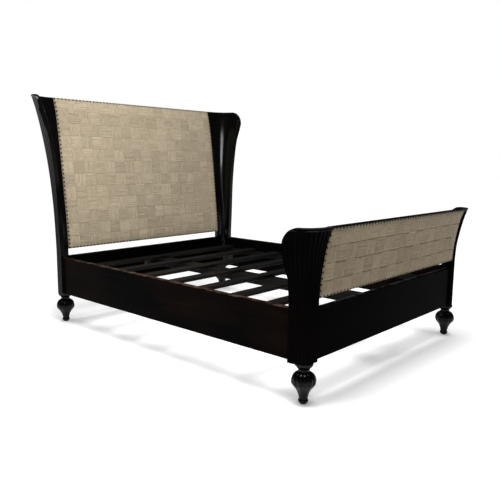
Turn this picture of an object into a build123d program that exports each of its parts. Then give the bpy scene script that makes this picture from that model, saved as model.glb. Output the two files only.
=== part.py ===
from build123d import *
from math import sin, cos, pi, hypot, radians, degrees, atan2
import os

os.makedirs("parts", exist_ok=True)

# ---------------------------------------------------------------- driving dimensions, mm
mid_y = -31.0            # Y of the point midway between the head and foot leg axes
leg_x = 777.0            # leg axis from the centre line
leg_y = 1034.0           # leg axis from mid_y
post_bottom = 200.0      # top of the turned feet
rail_bottom = 208.0
rail_top = 456.0
panel_bottom = 505.0     # underside of both upholstered panels
head_top = 1535.0
foot_top = 842.0
block_top = 366.0        # the corner blocks stop under the slats

side_rail_outer = 818.0
side_rail_thick = 38.0
end_rail_outer = 1068.0
end_rail_thick = 36.0
post_start = 732.0       # where the posts meet the end rails
panel_half = 732.0       # where the posts meet the panels
post_tip = 977.0         # mattress-side edge of every post, from mid_y
shell = 30.0             # post wall
flutes = 11
flute_depth = 3.6
flute_land = 4.0         # flat between flutes

pad_thick = 13.0
core_thick = 13.0
cover_thick = 8.0
panel_thick = pad_thick + core_thick + cover_thick
cap_thick = 8.0
foot_cap_thick = 4.0

slat_count = 8
slat_pitch = 266.0
slat_width = 78.0
slat_thick = 20.0
slat_under = 370.0       # underside of the slats
slat_first = 931.0       # centre of the slat nearest the headboard, from mid_y
ledger_depth = 38.0
ledger_thick = 22.0
beam_width = 110.0
beam_depth = 50.0

nail_pitch = 28.5
nail_radius = 5.0
nail_inset = 9.0

# height, face position from mid_y: the mattress-side face of the headboard panel
head_profile = [(505, 1038), (700, 1055), (900, 1077), (1100, 1098), (1240, 1116),
                (1350, 1131), (1450, 1149), (1535, 1172)]
# height, face position from mid_y: the outer face of the footboard panel
foot_profile = [(505, 1078), (600, 1085), (680, 1096), (750, 1110), (810, 1128), (842, 1141)]

# height, half width over the post tip, squareness, outer face from mid_y
head_sections = [(505, 834, 3.4, 1078), (700, 843, 2.7, 1089), (900, 850, 2.6, 1111),
                 (1100, 867, 2.6, 1132), (1300, 898, 2.6, 1158), (1450, 929, 2.6, 1183),
                 (1535, 951, 2.6, 1206)]
foot_sections = [(505, 834, 3.4, 1078), (600, 843, 3.0, 1085), (700, 869, 2.8, 1100),
                 (780, 886, 2.7, 1119), (842, 897, 2.6, 1142)]
base_half = 834.0
base_square = 3.4
base_outer = 1078.0


# ---------------------------------------------------------------- shared outlines
def quarter(x0, half, tip, square, outer, steps=120):
    """Points along a squared quarter oval from the panel side to the tip."""
    a, b = half - x0, outer - tip
    return [(x0 + a * sin(k / steps * pi / 2) ** (2 / square),
             tip + b * cos(k / steps * pi / 2) ** (2 / square)) for k in range(steps + 1)]


def at_lengths(points, lengths):
    """Points at given fractions of the whole length of a chain of points."""
    run = [0.0]
    for p, q in zip(points, points[1:]):
        run.append(run[-1] + hypot(q[0] - p[0], q[1] - p[1]))
    out = []
    for part in lengths:
        goal = part * run[-1]
        k = max(i for i in range(len(run)) if run[i] <= goal + 1e-9)
        k = min(k, len(points) - 2)
        u = (goal - run[k]) / (run[k + 1] - run[k])
        p, q = points[k], points[k + 1]
        out.append(((p[0] + u * (q[0] - p[0]), p[1] + u * (q[1] - p[1])), (q[0] - p[0], q[1] - p[1])))
    return out, run[-1]


def post_outline(x0, half, square, outer, sy):
    """Closed outline of a fluted shell on the +X side; sy is +1 at the head, -1 at the foot."""
    side = quarter(x0, half, post_tip, square, outer)
    inner = quarter(x0, half - shell, post_tip, square, outer - shell)
    total = at_lengths(side, [0])[1]
    land = flute_land / total
    span = (1 - land * (flutes + 1)) / flutes
    marks = []
    for k in range(flutes):
        marks += [land + k * (span + land), land + k * (span + land) + span / 2,
                  land + k * (span + land) + span]
    spots = at_lengths(side, marks)[0]
    here = (side[0][0], mid_y + sy * side[0][1])
    for k in range(flutes):
        (p, _), (m, d), (q, _) = spots[3 * k:3 * k + 3]
        r = hypot(d[0], d[1])
        m = (m[0] + d[1] / r * flute_depth, m[1] - d[0] / r * flute_depth)
        p, m, q = [(c[0], mid_y + sy * c[1]) for c in (p, m, q)]
        Line(here, p)
        ThreePointArc(p, m, q)
        here = q
    end = (side[-1][0], mid_y + sy * side[-1][1])
    Line(here, end)
    back = [(c[0], mid_y + sy * c[1]) for c in (t[0] for t in at_lengths(
        inner, [1 - k / 10 for k in range(11)])[0])]
    Line(end, back[0])
    Spline(*back)
    Line(back[-1], (side[0][0], mid_y + sy * side[0][1]))


def block_outline(sy):
    """Corner block: fills the hollow of the post base."""
    gap = 0.5
    inner = quarter(post_start, base_half - shell - gap, post_tip, base_square, base_outer - shell - gap)
    back = [(c[0], mid_y + sy * c[1]) for c in (t[0] for t in at_lengths(
        inner, [1 - k / 10 for k in range(11)])[0])]
    Spline(*back)
    Line(back[-1], (post_start, mid_y + sy * post_tip))
    Line((post_start, mid_y + sy * post_tip), back[0])


def face_at(profile, height):
    """Face position of a panel at a height, on a smooth curve through the listed points."""
    slopes = [(b[1] - a[1]) / (b[0] - a[0]) for a, b in zip(profile, profile[1:])]
    knots = [slopes[0]] + [(a + b) / 2 for a, b in zip(slopes, slopes[1:])] + [slopes[-1]]
    k = len(profile) - 2
    while k > 0 and height < profile[k][0]:
        k -= 1
    (z0, y0), (z1, y1) = profile[k], profile[k + 1]
    span = z1 - z0
    u = (height - z0) / span
    return ((2 * u ** 3 - 3 * u ** 2 + 1) * y0 + (u ** 3 - 2 * u ** 2 + u) * span * knots[k]
            + (3 * u ** 2 - 2 * u ** 3) * y1 + (u ** 3 - u ** 2) * span * knots[k + 1])


def layer_outline(profile, low, high, near, far, sy):
    """Curved sheet outline in the YZ plane between two depths behind the face."""
    steps = 24 if high - low > 100 else 4
    heights = [low + (high - low) * k / steps for k in range(steps + 1)]
    front = [(mid_y + sy * (face_at(profile, z) + near), z) for z in heights]
    rear = [(mid_y + sy * (face_at(profile, z) + far), z) for z in reversed(heights)]
    Spline(*front)
    Line(front[-1], rear[0])
    Spline(*rear)
    Line(rear[-1], front[0])


# ---------------------------------------------------------------- corner posts
tip_round_head = 95.0
tip_round_foot = 85.0
bolt_radius = 4.0
bolt_depth = 60.0        # hanger bolt length up into the corner


with BuildPart() as headboard_post_right:
    for z in (post_bottom, panel_bottom):
        with BuildSketch(Plane.XY.offset(z)):
            with BuildLine():
                post_outline(post_start, base_half, base_square, base_outer, 1)
            make_face()
    loft(ruled=True)
    for z, half, square, outer in head_sections:
        with BuildSketch(Plane.XY.offset(z)):
            with BuildLine():
                post_outline(panel_half, half, square, outer, 1)
            make_face()
    loft()
    with BuildSketch(Plane.YZ.offset(600)):
        with BuildLine():
            y0 = mid_y + post_tip
            Line((y0 - 20, head_top + 20), (y0 - 20, head_top - tip_round_head))
            Line((y0 - 20, head_top - tip_round_head), (y0, head_top - tip_round_head))
            ThreePointArc((y0, head_top - tip_round_head),
                          (y0 + tip_round_head * (1 - cos(pi / 4)),
                           head_top - tip_round_head * (1 - sin(pi / 4))),
                          (y0 + tip_round_head, head_top))
            Line((y0 + tip_round_head, head_top), (y0 + tip_round_head, head_top + 20))
            Line((y0 + tip_round_head, head_top + 20), (y0 - 20, head_top + 20))
        make_face()
    extrude(amount=500, mode=Mode.SUBTRACT)
    with Locations((leg_x, mid_y + leg_y, post_bottom)):
        Cylinder(bolt_radius + 0.2, bolt_depth + 1, align=(Align.CENTER, Align.CENTER, Align.MIN),
                 mode=Mode.SUBTRACT)
headboard_post_right.part.label = "headboard_post_right"

with BuildPart() as headboard_post_left:
    mirror(objects=headboard_post_right.part, about=Plane.YZ)
headboard_post_left.part.label = "headboard_post_left"

with BuildPart() as footboard_post_right:
    for z in (post_bottom, panel_bottom):
        with BuildSketch(Plane.XY.offset(z)):
            with BuildLine():
                post_outline(post_start, base_half, base_square, base_outer, -1)
            make_face()
    loft(ruled=True)
    for z, half, square, outer in foot_sections:
        with BuildSketch(Plane.XY.offset(z)):
            with BuildLine():
                post_outline(panel_half, half, square, outer, -1)
            make_face()
    loft()
    with BuildSketch(Plane.YZ.offset(600)):
        with BuildLine():
            y0 = mid_y - post_tip
            Line((y0 + 20, foot_top + 20), (y0 + 20, foot_top - tip_round_foot))
            Line((y0 + 20, foot_top - tip_round_foot), (y0, foot_top - tip_round_foot))
            ThreePointArc((y0, foot_top - tip_round_foot),
                          (y0 - tip_round_foot * (1 - cos(pi / 4)),
                           foot_top - tip_round_foot * (1 - sin(pi / 4))),
                          (y0 - tip_round_foot, foot_top))
            Line((y0 - tip_round_foot, foot_top), (y0 - tip_round_foot, foot_top + 20))
            Line((y0 - tip_round_foot, foot_top + 20), (y0 + 20, foot_top + 20))
        make_face()
    extrude(amount=500, mode=Mode.SUBTRACT)
    with Locations((leg_x, mid_y - leg_y, post_bottom)):
        Cylinder(bolt_radius + 0.2, bolt_depth + 1, align=(Align.CENTER, Align.CENTER, Align.MIN),
                 mode=Mode.SUBTRACT)
footboard_post_right.part.label = "footboard_post_right"

with BuildPart() as footboard_post_left:
    mirror(objects=footboard_post_right.part, about=Plane.YZ)
footboard_post_left.part.label = "footboard_post_left"

# ---------------------------------------------------------------- corner blocks
bracket_leg = 76.0        # along the side rail
block_leg = 46.0          # along the corner block
bracket_high = 106.0
bracket_thick = 4.0
bracket_low = 218.0
bracket_bolt = 3.0       # bolt shank radius
bracket_bolt_depth = 24.0
bracket_bolt_zs = (bracket_low + 26, bracket_low + 80)
block_bolt_x = 762.0

with BuildPart() as block_head_right:
    with BuildSketch(Plane.XY.offset(post_bottom)):
        with BuildLine():
            block_outline(1)
        make_face()
    extrude(amount=block_top - post_bottom)
    with Locations((leg_x, mid_y + leg_y, post_bottom)):
        Cylinder(bolt_radius + 0.2, bolt_depth + 1, align=(Align.CENTER, Align.CENTER, Align.MIN),
                 mode=Mode.SUBTRACT)
    for z in bracket_bolt_zs:
        with Locations(Location((block_bolt_x, mid_y + post_tip, z), (-90, 0, 0))):
            Cylinder(bracket_bolt + 0.2, bracket_bolt_depth + 1,
                     align=(Align.CENTER, Align.CENTER, Align.MIN), mode=Mode.SUBTRACT)
block_head_right.part.label = "corner_block_head_right"

with BuildPart() as block_head_left:
    mirror(objects=block_head_right.part, about=Plane.YZ)
block_head_left.part.label = "corner_block_head_left"

with BuildPart() as block_foot_right:
    with BuildSketch(Plane.XY.offset(post_bottom)):
        with BuildLine():
            block_outline(-1)
        make_face()
    extrude(amount=block_top - post_bottom)
    with Locations((leg_x, mid_y - leg_y, post_bottom)):
        Cylinder(bolt_radius + 0.2, bolt_depth + 1, align=(Align.CENTER, Align.CENTER, Align.MIN),
                 mode=Mode.SUBTRACT)
    for z in bracket_bolt_zs:
        with Locations(Location((block_bolt_x, mid_y - post_tip, z), (90, 0, 0))):
            Cylinder(bracket_bolt + 0.2, bracket_bolt_depth + 1,
                     align=(Align.CENTER, Align.CENTER, Align.MIN), mode=Mode.SUBTRACT)
block_foot_right.part.label = "corner_block_foot_right"

with BuildPart() as block_foot_left:
    mirror(objects=block_foot_right.part, about=Plane.YZ)
block_foot_left.part.label = "corner_block_foot_left"

# ---------------------------------------------------------------- turned feet
# height, radius, lobe depth of the turned and carved outline
foot_low = [(28, 21.8, 0.3), (38, 23.4, 0.4), (48, 26, 0.6), (58, 30, 0.9), (68, 35, 1.2),
            (78, 42, 1.6), (88, 50, 2.2), (98, 57.2, 3.4), (107, 60.2, 4.4), (117, 60.2, 4.8),
            (127, 58.2, 4.8), (137, 54.2, 4.2), (147, 46.8, 3.2), (156, 34.5, 1.8), (161, 29.6, 0.9),
            (166, 28.4, 0.6)]
foot_high = [(166, 28.4, 0.6), (171, 29.2, 0.7), (176, 33, 1.1), (182, 38.4, 1.6), (188, 43, 2.0),
             (194, 45.6, 2.2), (200, 46, 2.2)]
toe = [(5, 20), (10, 23.4), (15, 24.8), (20, 24.2), (24, 22.4), (28, 21.6)]
foot_lobes = 12
glide_thick = 3.0
bolt_in_foot = 55.0


def lobed(radius, depth):
    """Round outline with shallow lobes, closed, about the origin."""
    step = 2 * pi / foot_lobes
    for k in range(foot_lobes):
        low, top = radius - depth, radius
        Line_ends = [(low * cos(k * step), low * sin(k * step)),
                     (top * cos((k + 0.5) * step), top * sin((k + 0.5) * step)),
                     (low * cos((k + 1) * step), low * sin((k + 1) * step))]
        ThreePointArc(*Line_ends)


with BuildPart() as foot_blank:
    with BuildSketch(Plane.XZ):
        with BuildLine():
            Line((0, glide_thick), (17.5, glide_thick))
            Spline(*[(17.5, glide_thick)] + [(r, z) for z, r in toe])
            Line((21.6, 28), (0, 28))
            Line((0, 28), (0, glide_thick))
        make_face()
    revolve(axis=Axis.Z)
    for z, radius, depth in foot_low:
        with BuildSketch(Plane.XY.offset(z)):
            with BuildLine():
                lobed(radius, depth)
            make_face()
    loft()
    for z, radius, depth in foot_high:
        with BuildSketch(Plane.XY.offset(z)):
            with BuildLine():
                lobed(radius, depth)
            make_face()
    loft()
    with Locations((0, 0, post_bottom - bolt_in_foot)):
        Cylinder(bolt_radius + 0.2, bolt_in_foot + 1, align=(Align.CENTER, Align.CENTER, Align.MIN),
                 mode=Mode.SUBTRACT)

with BuildPart() as foot_head_right:
    add(foot_blank.part.moved(Location((leg_x, mid_y + leg_y, 0))))
foot_head_right.part.label = "foot_head_right"

with BuildPart() as foot_head_left:
    add(foot_blank.part.moved(Location((-leg_x, mid_y + leg_y, 0))))
foot_head_left.part.label = "foot_head_left"

with BuildPart() as foot_foot_right:
    add(foot_blank.part.moved(Location((leg_x, mid_y - leg_y, 0))))
foot_foot_right.part.label = "foot_tail_right"

with BuildPart() as foot_foot_left:
    add(foot_blank.part.moved(Location((-leg_x, mid_y - leg_y, 0))))
foot_foot_left.part.label = "foot_tail_left"

leg_spots = [(sx * leg_x, mid_y + sy * leg_y) for sx in (-1, 1) for sy in (-1, 1)]

with BuildPart() as foot_bolts:
    with Locations(*[(x, y, post_bottom - bolt_in_foot) for x, y in leg_spots]):
        Cylinder(bolt_radius, bolt_in_foot + bolt_depth,
                 align=(Align.CENTER, Align.CENTER, Align.MIN))
foot_bolts.part.label = "foot_hanger_bolts"

with BuildPart() as foot_glides:
    with Locations(*[(x, y, 0) for x, y in leg_spots]):
        Cylinder(15.5, glide_thick, align=(Align.CENTER, Align.CENTER, Align.MIN))
foot_glides.part.label = "foot_glides"

# ---------------------------------------------------------------- side rails and end rails
rail_high = rail_top - rail_bottom
side_inner = side_rail_outer - side_rail_thick
end_inner = end_rail_outer - end_rail_thick
rail_edge = 4.0

with BuildPart() as side_rail_right:
    with BuildSketch(Plane.XZ.offset(-(mid_y - post_tip))):
        with Locations((side_rail_outer - side_rail_thick / 2, (rail_bottom + rail_top) / 2)):
            RectangleRounded(side_rail_thick, rail_high, rail_edge)
    extrude(amount=-2 * post_tip)
    for sy in (-1, 1):
        for z in bracket_bolt_zs:
            with Locations(Location((side_inner, mid_y + sy * (post_tip - bracket_leg + 26), z),
                                    (0, 90, 0))):
                Cylinder(bracket_bolt + 0.2, bracket_bolt_depth + 1,
                         align=(Align.CENTER, Align.CENTER, Align.MIN), mode=Mode.SUBTRACT)
side_rail_right.part.label = "side_rail_right"

with BuildPart() as side_rail_left:
    mirror(objects=side_rail_right.part, about=Plane.YZ)
side_rail_left.part.label = "side_rail_left"

with BuildPart() as headboard_rail:
    with BuildSketch(Plane.YZ.offset(-post_start)):
        with Locations((mid_y + end_rail_outer - end_rail_thick / 2, (rail_bottom + rail_top) / 2)):
            RectangleRounded(end_rail_thick, rail_high, rail_edge)
    extrude(amount=2 * post_start)
headboard_rail.part.label = "headboard_rail"

with BuildPart() as footboard_rail:
    with BuildSketch(Plane.YZ.offset(-post_start)):
        with Locations((mid_y - end_rail_outer + end_rail_thick / 2, (rail_bottom + rail_top) / 2)):
            RectangleRounded(end_rail_thick, rail_high, rail_edge)
    extrude(amount=2 * post_start)
footboard_rail.part.label = "footboard_rail"

# ---------------------------------------------------------------- corner brackets and bolts
with BuildPart() as bracket_head_right:
    with BuildSketch(Plane.XY.offset(bracket_low)):
        with BuildLine():
            Polyline((side_inner, mid_y + post_tip), (side_inner, mid_y + post_tip - bracket_leg),
                     (side_inner - bracket_thick, mid_y + post_tip - bracket_leg),
                     (side_inner - bracket_thick, mid_y + post_tip - bracket_thick),
                     (side_inner - block_leg, mid_y + post_tip - bracket_thick),
                     (side_inner - block_leg, mid_y + post_tip),
                     (side_inner, mid_y + post_tip))
        make_face()
    extrude(amount=bracket_high)
    for z in bracket_bolt_zs:
        with Locations(Location((side_inner - 10, mid_y + post_tip - bracket_leg + 26, z), (0, 90, 0)),
                       Location((block_bolt_x, mid_y + post_tip - 10, z), (-90, 0, 0))):
            Cylinder(bracket_bolt + 0.3, 20, align=(Align.CENTER, Align.CENTER, Align.MIN),
                     mode=Mode.SUBTRACT)
bracket_head_right.part.label = "corner_bracket_head_right"

with BuildPart() as bracket_head_left:
    mirror(objects=bracket_head_right.part, about=Plane.YZ)
bracket_head_left.part.label = "corner_bracket_head_left"

with BuildPart() as bracket_foot_right:
    mirror(objects=bracket_head_right.part, about=Plane.XZ.offset(-mid_y))
bracket_foot_right.part.label = "corner_bracket_foot_right"

with BuildPart() as bracket_foot_left:
    mirror(objects=bracket_foot_right.part, about=Plane.YZ)
bracket_foot_left.part.label = "corner_bracket_foot_left"

with BuildPart() as bracket_bolts:
    for sx in (-1, 1):
        for sy in (-1, 1):
            for z in bracket_bolt_zs:
                y_rail = mid_y + sy * (post_tip - bracket_leg + 26)
                y_block = mid_y + sy * (post_tip - bracket_thick)
                x_rail = sx * (side_inner - bracket_thick)
                with Locations(Location((x_rail, y_rail, z), (0, sx * 90, 0)),
                               Location((sx * block_bolt_x, y_block, z), (-sy * 90, 0, 0))):
                    Cylinder(bracket_bolt, bracket_bolt_depth,
                             align=(Align.CENTER, Align.CENTER, Align.MIN))
                    Cylinder(6.5, 4.0, align=(Align.CENTER, Align.CENTER, Align.MAX))
bracket_bolts.part.label = "corner_bracket_bolts"

# ---------------------------------------------------------------- slat base
ledger_y = 974.0
slat_gap = 2.0
screw_radius = 2.2
screw_x = side_inner - ledger_thick / 2
slat_ys = [mid_y + slat_first - k * slat_pitch for k in range(slat_count)]
screw_long = 41.0
screw_head = 5.0
screw_sink = 3.6

with BuildPart() as ledger_right:
    with BuildSketch(Plane.XZ.offset(-(mid_y - ledger_y))):
        with Locations((side_inner - ledger_thick / 2, slat_under - ledger_depth / 2)):
            RectangleRounded(ledger_thick, ledger_depth, 2)
    extrude(amount=-2 * ledger_y)
    with Locations(*[(screw_x, y, slat_under) for y in slat_ys if abs(y - mid_y) < ledger_y]):
        Cylinder(screw_radius + 0.2, screw_long - slat_thick + 1,
                 align=(Align.CENTER, Align.CENTER, Align.MAX), mode=Mode.SUBTRACT)
ledger_right.part.label = "slat_ledger_right"

with BuildPart() as ledger_left:
    mirror(objects=ledger_right.part, about=Plane.YZ)
ledger_left.part.label = "slat_ledger_left"

slats = []
for number, y in enumerate(slat_ys, 1):
    with BuildPart() as slat:
        with BuildSketch(Plane.YZ.offset(-(side_inner - slat_gap))):
            with Locations((y, slat_under + slat_thick / 2)):
                RectangleRounded(slat_width, slat_thick, 3)
        extrude(amount=2 * (side_inner - slat_gap))
        with Locations((screw_x, y, slat_under - 1), (-screw_x, y, slat_under - 1)):
            Cylinder(screw_radius + 0.2, slat_thick + 2,
                     align=(Align.CENTER, Align.CENTER, Align.MIN), mode=Mode.SUBTRACT)
        with Locations((screw_x, y, slat_under + slat_thick + 0.01),
                       (-screw_x, y, slat_under + slat_thick + 0.01)):
            Cone(screw_radius + 0.2, screw_head + 0.2, screw_sink,
                 align=(Align.CENTER, Align.CENTER, Align.MAX), mode=Mode.SUBTRACT)
    slat.part.label = f"slat_{number}"
    slats.append(slat.part)

with BuildPart() as slat_screws:
    with Locations(*[(sx * screw_x, y, slat_under + slat_thick - 0.4)
                     for sx in (-1, 1) for y in slat_ys]):
        Cylinder(screw_radius, screw_long, align=(Align.CENTER, Align.CENTER, Align.MAX))
        Cone(screw_radius, screw_head - 0.5, screw_sink - 0.6,
             align=(Align.CENTER, Align.CENTER, Align.MAX))
slat_screws.part.label = "slat_screws"

beam_top = slat_under
beam_low = beam_top - beam_depth
beam_end = end_inner - 4.0
with BuildPart() as centre_beam:
    with BuildSketch(Plane.XZ.offset(-(mid_y - beam_end))):
        with Locations((0, (beam_top + beam_low) / 2)):
            RectangleRounded(beam_width, beam_depth, 3)
    extrude(amount=-2 * beam_end)
centre_beam.part.label = "centre_beam"

hanger_thick = 3.0
with BuildPart() as hanger_head:
    with Locations((0, mid_y + end_inner, beam_low - 12)):
        Box(beam_width + 60, hanger_thick, beam_depth + 12,
            align=(Align.CENTER, Align.MAX, Align.MIN))
    with Locations((0, mid_y + end_inner, beam_low)):
        Box(beam_width + 2 * hanger_thick + 1, 42, hanger_thick,
            align=(Align.CENTER, Align.MAX, Align.MAX))
    with Locations((beam_width / 2 + 0.5, mid_y + end_inner, beam_low - hanger_thick),
                   (-beam_width / 2 - 0.5 - hanger_thick, mid_y + end_inner, beam_low - hanger_thick)):
        Box(hanger_thick, 42, beam_depth - 6, align=(Align.MIN, Align.MAX, Align.MIN))
hanger_head.part.label = "beam_hanger_head"

with BuildPart() as hanger_foot:
    mirror(objects=hanger_head.part, about=Plane.XZ.offset(-mid_y))
hanger_foot.part.label = "beam_hanger_foot"

# ---------------------------------------------------------------- upholstered panels
panel_gap = 0.6
panel_wide = panel_half - panel_gap
head_low, head_high = panel_bottom + cap_thick, head_top - cap_thick
foot_low_z, foot_high_z = panel_bottom + cap_thick, foot_top - foot_cap_thick
d1, d2, d3 = pad_thick, pad_thick + core_thick, panel_thick

with BuildPart() as headboard_pad:
    with BuildSketch(Plane.YZ.offset(-panel_wide)):
        with BuildLine():
            layer_outline(head_profile, panel_bottom, head_top, 0, d1, 1)
        make_face()
    extrude(amount=2 * panel_wide)
headboard_pad.part.label = "headboard_pad"
with BuildPart() as headboard_core:
    with BuildSketch(Plane.YZ.offset(-panel_wide)):
        with BuildLine():
            layer_outline(head_profile, head_low, head_high, d1, d2, 1)
        make_face()
    extrude(amount=2 * panel_wide)
headboard_core.part.label = "headboard_core"
with BuildPart() as headboard_back:
    with BuildSketch(Plane.YZ.offset(-panel_wide)):
        with BuildLine():
            layer_outline(head_profile, head_low, head_high, d2, d3, 1)
        make_face()
    extrude(amount=2 * panel_wide)
headboard_back.part.label = "headboard_back_panel"
with BuildPart() as headboard_top_cap:
    with BuildSketch(Plane.YZ.offset(-panel_wide)):
        with BuildLine():
            layer_outline(head_profile, head_high, head_top, d1, d3, 1)
        make_face()
    extrude(amount=2 * panel_wide)
headboard_top_cap.part.label = "headboard_top_cap"
with BuildPart() as headboard_bottom_cap:
    with BuildSketch(Plane.YZ.offset(-panel_wide)):
        with BuildLine():
            layer_outline(head_profile, panel_bottom, head_low, d1, d3, 1)
        make_face()
    extrude(amount=2 * panel_wide)
headboard_bottom_cap.part.label = "headboard_bottom_cap"

# The footboard profile is its outer face, so depth runs toward the mattress.
with BuildPart() as footboard_pad:
    with BuildSketch(Plane.YZ.offset(-panel_wide)):
        with BuildLine():
            layer_outline(foot_profile, panel_bottom, foot_high_z, 0, -d1, -1)
        make_face()
    extrude(amount=2 * panel_wide)
footboard_pad.part.label = "footboard_pad"
with BuildPart() as footboard_core:
    with BuildSketch(Plane.YZ.offset(-panel_wide)):
        with BuildLine():
            layer_outline(foot_profile, foot_low_z, foot_high_z, -d1, -d2, -1)
        make_face()
    extrude(amount=2 * panel_wide)
footboard_core.part.label = "footboard_core"
with BuildPart() as footboard_inner:
    with BuildSketch(Plane.YZ.offset(-panel_wide)):
        with BuildLine():
            layer_outline(foot_profile, foot_low_z, foot_high_z, -d2, -d3, -1)
        make_face()
    extrude(amount=2 * panel_wide)
footboard_inner.part.label = "footboard_inner_panel"
with BuildPart() as footboard_top_cap:
    with BuildSketch(Plane.YZ.offset(-panel_wide)):
        with BuildLine():
            layer_outline(foot_profile, foot_high_z, foot_top, 1, -d3, -1)
        make_face()
    extrude(amount=2 * panel_wide)
footboard_top_cap.part.label = "footboard_top_cap"
with BuildPart() as footboard_bottom_cap:
    with BuildSketch(Plane.YZ.offset(-panel_wide)):
        with BuildLine():
            layer_outline(foot_profile, panel_bottom, foot_low_z, -d1, -d3, -1)
        make_face()
    extrude(amount=2 * panel_wide)
footboard_bottom_cap.part.label = "footboard_bottom_cap"


# ---------------------------------------------------------------- nailheads
def slope_at(profile, height):
    """Lean of the panel face at a height, in degrees from upright."""
    lo, hi = max(height - 6, profile[0][0]), min(height + 6, profile[-1][0])
    return degrees(atan2(face_at(profile, hi) - face_at(profile, lo), hi - lo))


def nail_spots(profile, low, high, half):
    """Even spacing round the border of a panel: (x, height)."""
    x1, z0, z1 = half - nail_inset, low + nail_inset, high - nail_inset
    across = round(2 * x1 / nail_pitch)
    upward = round((z1 - z0) / nail_pitch)
    spots = [(-x1 + 2 * x1 * k / across, z) for z in (z0, z1) for k in range(across + 1)]
    spots += [(x, z0 + (z1 - z0) * k / upward) for x in (-x1, x1) for k in range(1, upward)]
    return spots


with BuildPart() as headboard_nails:
    for x, z in nail_spots(head_profile, panel_bottom, head_top, panel_wide):
        lean = slope_at(head_profile, z)
        with Locations(Location((x, mid_y + face_at(head_profile, z) - 0.3, z), (90 - lean, 0, 0))):
            Cone(nail_radius, nail_radius * 0.55, 2.6, align=(Align.CENTER, Align.CENTER, Align.MIN))
headboard_nails.part.label = "headboard_nailheads"

with BuildPart() as footboard_nails:
    for x, z in nail_spots(foot_profile, panel_bottom, foot_high_z, panel_wide):
        lean = slope_at(foot_profile, z)
        with Locations(Location((x, mid_y - face_at(foot_profile, z) - 0.3, z), (90 + lean, 0, 0))):
            Cone(nail_radius, nail_radius * 0.55, 2.6, align=(Align.CENTER, Align.CENTER, Align.MIN))
footboard_nails.part.label = "footboard_nailheads"

# ---------------------------------------------------------------- export
export_step(headboard_post_left.part, "parts/headboard_post_left.step")
export_step(headboard_post_right.part, "parts/headboard_post_right.step")
export_step(footboard_post_left.part, "parts/footboard_post_left.step")
export_step(footboard_post_right.part, "parts/footboard_post_right.step")
export_step(block_head_left.part, "parts/corner_block_head_left.step")
export_step(block_head_right.part, "parts/corner_block_head_right.step")
export_step(block_foot_left.part, "parts/corner_block_foot_left.step")
export_step(block_foot_right.part, "parts/corner_block_foot_right.step")
export_step(foot_head_left.part, "parts/foot_head_left.step")
export_step(foot_head_right.part, "parts/foot_head_right.step")
export_step(foot_foot_left.part, "parts/foot_tail_left.step")
export_step(foot_foot_right.part, "parts/foot_tail_right.step")
export_step(foot_bolts.part, "parts/foot_hanger_bolts.step")
export_step(foot_glides.part, "parts/foot_glides.step")
export_step(side_rail_left.part, "parts/side_rail_left.step")
export_step(side_rail_right.part, "parts/side_rail_right.step")
export_step(headboard_rail.part, "parts/headboard_rail.step")
export_step(footboard_rail.part, "parts/footboard_rail.step")
export_step(bracket_head_left.part, "parts/corner_bracket_head_left.step")
export_step(bracket_head_right.part, "parts/corner_bracket_head_right.step")
export_step(bracket_foot_left.part, "parts/corner_bracket_foot_left.step")
export_step(bracket_foot_right.part, "parts/corner_bracket_foot_right.step")
export_step(bracket_bolts.part, "parts/corner_bracket_bolts.step")
export_step(ledger_left.part, "parts/slat_ledger_left.step")
export_step(ledger_right.part, "parts/slat_ledger_right.step")
export_step(slat_screws.part, "parts/slat_screws.step")
export_step(centre_beam.part, "parts/centre_beam.step")
export_step(hanger_head.part, "parts/beam_hanger_head.step")
export_step(hanger_foot.part, "parts/beam_hanger_foot.step")
export_step(headboard_pad.part, "parts/headboard_pad.step")
export_step(headboard_core.part, "parts/headboard_core.step")
export_step(headboard_back.part, "parts/headboard_back_panel.step")
export_step(headboard_top_cap.part, "parts/headboard_top_cap.step")
export_step(headboard_bottom_cap.part, "parts/headboard_bottom_cap.step")
export_step(headboard_nails.part, "parts/headboard_nailheads.step")
export_step(footboard_pad.part, "parts/footboard_pad.step")
export_step(footboard_core.part, "parts/footboard_core.step")
export_step(footboard_inner.part, "parts/footboard_inner_panel.step")
export_step(footboard_top_cap.part, "parts/footboard_top_cap.step")
export_step(footboard_bottom_cap.part, "parts/footboard_bottom_cap.step")
export_step(footboard_nails.part, "parts/footboard_nailheads.step")
for piece in slats:
    export_step(piece, f"parts/{piece.label}.step")
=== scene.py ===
import bpy, bmesh, math, random
import numpy as np
from mathutils import Matrix, Vector


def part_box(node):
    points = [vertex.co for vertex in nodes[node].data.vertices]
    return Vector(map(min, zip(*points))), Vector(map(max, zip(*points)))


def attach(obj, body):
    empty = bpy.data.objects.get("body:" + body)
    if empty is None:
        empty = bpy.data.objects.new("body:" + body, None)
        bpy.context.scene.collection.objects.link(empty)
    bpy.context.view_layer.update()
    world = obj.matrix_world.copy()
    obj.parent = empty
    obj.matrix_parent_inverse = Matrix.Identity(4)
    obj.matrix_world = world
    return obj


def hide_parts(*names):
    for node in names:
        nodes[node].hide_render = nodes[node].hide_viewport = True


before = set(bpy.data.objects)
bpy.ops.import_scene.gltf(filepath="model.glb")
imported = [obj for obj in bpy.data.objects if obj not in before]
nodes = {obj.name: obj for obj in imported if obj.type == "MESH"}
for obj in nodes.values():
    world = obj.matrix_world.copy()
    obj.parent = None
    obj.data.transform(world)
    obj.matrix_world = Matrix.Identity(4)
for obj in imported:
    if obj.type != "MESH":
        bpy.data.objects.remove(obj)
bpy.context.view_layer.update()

# ------------------------------------------------------------------ sizes shared with the CAD, metres
head_post, foot_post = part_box("headboard_post_right"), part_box("footboard_post_right")
head_pad, foot_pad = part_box("headboard_pad"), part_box("footboard_pad")
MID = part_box("foot_head_left")[0].y / 2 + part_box("foot_tail_left")[1].y / 2
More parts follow.
